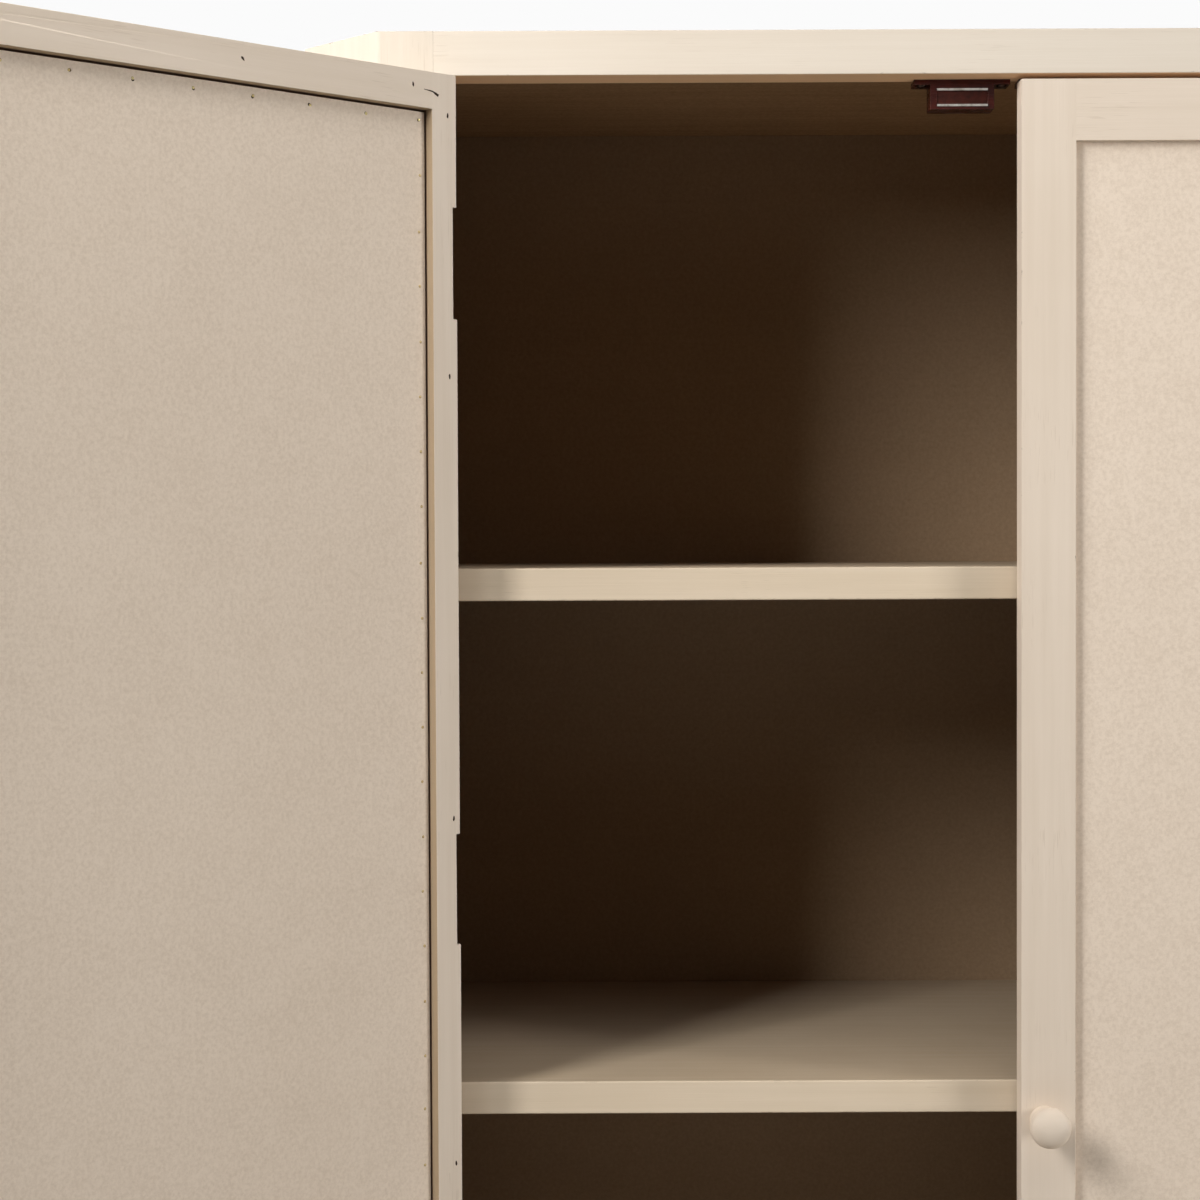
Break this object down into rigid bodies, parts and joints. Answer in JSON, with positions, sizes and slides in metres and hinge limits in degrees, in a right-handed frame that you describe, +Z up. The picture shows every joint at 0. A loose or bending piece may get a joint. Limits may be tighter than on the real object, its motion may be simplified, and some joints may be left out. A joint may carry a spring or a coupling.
{
  "type": "step back cupboard",
  "caption": "Painted step back cupboard: shallow shelved upper case with canted front corners on a deeper base, framed panel doors on butt hinges with magnetic catches.",
  "frame": {"origin": "on the floor, under the middle of the lower case's footprint, on the underside of the bearer that runs front to back there", "axes": "+X to the right as seen from the front, +Y from the front to the back, +Z up"},
  "size_m": [1.0463, 0.5756, 1.89],
  "materials": {
    "painted_wood": "brushed cream oil paint over softwood, satin, faint grain",
    "painted_hardboard": "thin cream paint over mottled hardboard, matt",
    "bare_hardboard": "bare brown hardboard, matt",
    "hinge_steel": "dull steel, lightly worn",
    "screw_steel": "dull steel",
    "catch_plastic": "moulded dark brown plastic, glossy",
    "bright_steel": "plain ground steel",
    "ferrite": "dull dark ferrite"
  },
  "bodies": {
    "case": {"case_screws": "screw_steel", "catch_housings": "catch_plastic", "catch_magnets": "ferrite", "catch_pole_plates": "bright_steel", "counter_top": "painted_wood", "hinge_case_leaves": "hinge_steel", "hinge_pins": "hinge_steel", "lower_back_panel": "bare_hardboard", "lower_floor": "painted_wood", "lower_kick_board": "painted_wood", "lower_left_post": "painted_wood", "lower_left_side": "painted_wood", "lower_right_post": "painted_wood", "lower_right_side": "painted_wood", "lower_shelf": "painted_wood", "lower_top_rail": "painted_wood", "shelf_bearers": "painted_wood", "upper_back_panel": "bare_hardboard", "upper_bottom_rail": "painted_wood", "upper_floor": "painted_wood", "upper_high_shelf": "painted_wood", "upper_left_post": "painted_wood", "upper_left_side": "painted_wood", "upper_low_shelf": "painted_wood", "upper_right_post": "painted_wood", "upper_right_side": "painted_wood", "upper_top_panel": "bare_hardboard", "upper_top_rail": "painted_wood"},
    "upper_left_door": {"upper_left_door_bottom_rail": "painted_wood", "upper_left_door_hinge_leaves": "hinge_steel", "upper_left_door_hinge_stile": "painted_wood", "upper_left_door_knob": "painted_wood", "upper_left_door_meeting_stile": "painted_wood", "upper_left_door_panel": "painted_hardboard", "upper_left_door_screws": "screw_steel", "upper_left_door_strike_plate": "bright_steel", "upper_left_door_top_rail": "painted_wood"},
    "upper_right_door": {"upper_right_door_bottom_rail": "painted_wood", "upper_right_door_hinge_leaves": "hinge_steel", "upper_right_door_hinge_stile": "painted_wood", "upper_right_door_knob": "painted_wood", "upper_right_door_meeting_stile": "painted_wood", "upper_right_door_panel": "painted_hardboard", "upper_right_door_screws": "screw_steel", "upper_right_door_strike_plate": "bright_steel", "upper_right_door_top_rail": "painted_wood"},
    "lower_left_door": {"lower_left_door_hinge_leaves": "hinge_steel", "lower_left_door_knob": "painted_wood", "lower_left_door_panel": "painted_hardboard", "lower_left_door_rails": "painted_wood", "lower_left_door_screws": "screw_steel", "lower_left_door_stiles": "painted_wood", "lower_left_door_strike_plate": "bright_steel"},
    "lower_right_door": {"lower_right_door_hinge_leaves": "hinge_steel", "lower_right_door_knob": "painted_wood", "lower_right_door_panel": "painted_hardboard", "lower_right_door_rails": "painted_wood", "lower_right_door_screws": "screw_steel", "lower_right_door_stiles": "painted_wood", "lower_right_door_strike_plate": "bright_steel"}
  },
  "joints": [
    {"name": "upper_left_door_swing", "type": "hinge", "parent": "case", "child": "upper_left_door", "pos_m": [-0.34045, -0.1046, 0.9192], "axis": [0, 0, -1], "range_deg": [-139, 36]},
    {"name": "upper_right_door_swing", "type": "hinge", "parent": "case", "child": "upper_right_door", "pos_m": [0.34045, -0.1046, 0.9192], "axis": [0, 0, 1], "range_deg": [0, 175]},
    {"name": "lower_left_door_swing", "type": "hinge", "parent": "case", "child": "lower_left_door", "pos_m": [-0.34045, -0.2376, 0.0882], "axis": [0, 0, -1], "range_deg": [0, 175]},
    {"name": "lower_right_door_swing", "type": "hinge", "parent": "case", "child": "lower_right_door", "pos_m": [0.34045, -0.2376, 0.0882], "axis": [0, 0, 1], "range_deg": [0, 175]}
  ]
}
